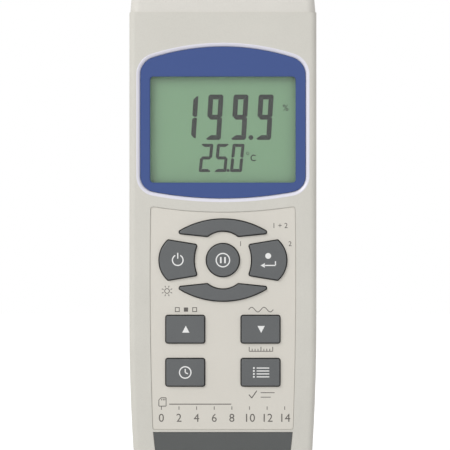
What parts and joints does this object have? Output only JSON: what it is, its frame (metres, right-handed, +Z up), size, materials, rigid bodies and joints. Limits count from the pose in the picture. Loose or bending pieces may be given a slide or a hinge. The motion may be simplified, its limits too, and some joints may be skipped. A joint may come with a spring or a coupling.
{
  "type": "handheld water quality meter",
  "caption": "Upright handheld water meter: round-cornered case, blue-framed segment display, round and oblong keys, sockets on the cap, folding stand.",
  "frame": {"origin": "middle of the foot, on the surface the meter stands on", "axes": "+X to the right seen from the front, +Y from the face to the back, +Z up the case"},
  "size_m": [0.068, 0.045, 0.188],
  "materials": {
    "case_plastic": "fine moulded texture",
    "cap_plastic": "fine moulded texture",
    "panel_film": "smooth matt film",
    "plate_film": "smooth matt film",
    "frame_blue": "satin",
    "clear_lens": "clear",
    "display": "green-grey display",
    "black_plastic": "satin",
    "strip_rubber": "matt",
    "light_guide": "frosted",
    "circuit_board": "green mask",
    "chip_plastic": "matt",
    "mat_rubber": "matt",
    "key_plastic": "fine texture",
    "plated_metal": "bright plating",
    "socket_white": "satin",
    "contact_gold": "gold plate",
    "screw_steel": "zinc plate",
    "sheet_steel": "bright",
    "nut_brass": "turned",
    "cell_wrap": "plain wrap",
    "foam": "open cell foam",
    "card_plastic": "satin"
  },
  "bodies": {
    "case": {"front_case": "case_plastic", "rear_case": "case_plastic", "top_cap": "cap_plastic", "keypad_panel": "panel_film", "lower_plate": "plate_film", "display_bezel": "frame_blue", "display_lens": "clear_lens", "display_glass": "display", "display_holder": "black_plastic", "contact_strips": "strip_rubber", "backlight": "light_guide", "main_board": "circuit_board", "board_chips": "chip_plastic", "buzzer": "black_plastic", "keypad_mat": "mat_rubber", "link_board": "circuit_board", "link_header": "contact_gold", "coax_shell": "plated_metal", "coax_insulator": "socket_white", "coax_contact": "contact_gold", "coax_nut": "plated_metal", "probe_socket": "plated_metal", "probe_pins": "contact_gold", "probe_nut": "plated_metal", "temperature_jack": "black_plastic", "temperature_nut": "plated_metal", "card_socket": "sheet_steel", "power_jack": "black_plastic", "power_pin": "plated_metal", "data_jack": "black_plastic", "reset_switch": "black_plastic", "cell_contacts": "sheet_steel", "cell_springs": "sheet_steel", "tripod_nut": "nut_brass", "case_screws": "screw_steel", "board_screws": "screw_steel", "cell_1": "cell_wrap", "cell_2": "cell_wrap", "cell_3": "cell_wrap", "cell_4": "cell_wrap", "cell_5": "cell_wrap", "cell_6": "cell_wrap"},
    "power_key": {"power_key": "key_plastic"},
    "hold_key": {"hold_key": "key_plastic"},
    "record_key": {"record_key": "key_plastic"},
    "upper_blank_key": {"upper_blank_key": "key_plastic"},
    "lower_blank_key": {"lower_blank_key": "key_plastic"},
    "up_key": {"up_key": "key_plastic"},
    "down_key": {"down_key": "key_plastic"},
    "time_key": {"time_key": "key_plastic"},
    "logger_key": {"logger_key": "key_plastic"},
    "card": {"memory_card": "card_plastic"},
    "reset": {"reset_button": "socket_white"},
    "door": {"port_door": "case_plastic"},
    "cover": {"battery_cover": "case_plastic", "cover_screws": "screw_steel", "foam_pad": "foam"},
    "folding_stand": {"stand": "case_plastic", "stand_pins": "screw_steel"}
  },
  "joints": [
    {"name": "power_key_press", "type": "slide", "parent": "case", "child": "power_key", "axis": [0, 1, 0], "range_m": [0, 0.0012], "stiffness_N_per_m": 500, "springref_m": -0.001},
    {"name": "hold_key_press", "type": "slide", "parent": "case", "child": "hold_key", "axis": [0, 1, 0], "range_m": [0, 0.0012], "stiffness_N_per_m": 500, "springref_m": -0.001},
    {"name": "record_key_press", "type": "slide", "parent": "case", "child": "record_key", "axis": [0, 1, 0], "range_m": [0, 0.0012], "stiffness_N_per_m": 500, "springref_m": -0.001},
    {"name": "upper_blank_key_press", "type": "slide", "parent": "case", "child": "upper_blank_key", "axis": [0, 1, 0], "range_m": [0, 0.0012], "stiffness_N_per_m": 500, "springref_m": -0.001},
    {"name": "lower_blank_key_press", "type": "slide", "parent": "case", "child": "lower_blank_key", "axis": [0, 1, 0], "range_m": [0, 0.0012], "stiffness_N_per_m": 500, "springref_m": -0.001},
    {"name": "up_key_press", "type": "slide", "parent": "case", "child": "up_key", "axis": [0, 1, 0], "range_m": [0, 0.0012], "stiffness_N_per_m": 500, "springref_m": -0.001},
    {"name": "down_key_press", "type": "slide", "parent": "case", "child": "down_key", "axis": [0, 1, 0], "range_m": [0, 0.0012], "stiffness_N_per_m": 500, "springref_m": -0.001},
    {"name": "time_key_press", "type": "slide", "parent": "case", "child": "time_key", "axis": [0, 1, 0], "range_m": [0, 0.0012], "stiffness_N_per_m": 500, "springref_m": -0.001},
    {"name": "logger_key_press", "type": "slide", "parent": "case", "child": "logger_key", "axis": [0, 1, 0], "range_m": [0, 0.0012], "stiffness_N_per_m": 500, "springref_m": -0.001},
    {"name": "card_push", "type": "slide", "parent": "case", "child": "card", "axis": [-1, 0, 0], "range_m": [0, 0.001], "stiffness_N_per_m": 500, "springref_m": -0.001},
    {"name": "reset_press", "type": "slide", "parent": "case", "child": "reset", "axis": [-1, 0, 0], "range_m": [0, 0.0003], "stiffness_N_per_m": 500, "springref_m": -0.0005},
    {"name": "door_hinge", "type": "hinge", "parent": "case", "child": "door", "pos_m": [0.0322, -0.0022, 0.053], "axis": [0, 0, 1], "range_deg": [0, 90]},
    {"name": "cover_lift", "type": "slide", "parent": "case", "child": "cover", "axis": [0, 1, 0], "range_m": [0, 0.03]},
    {"name": "stand_hinge", "type": "hinge", "parent": "case", "child": "folding_stand", "pos_m": [0, 0.02018, 0.156], "axis": [1, 0, 0], "range_deg": [0, 60]}
  ]
}
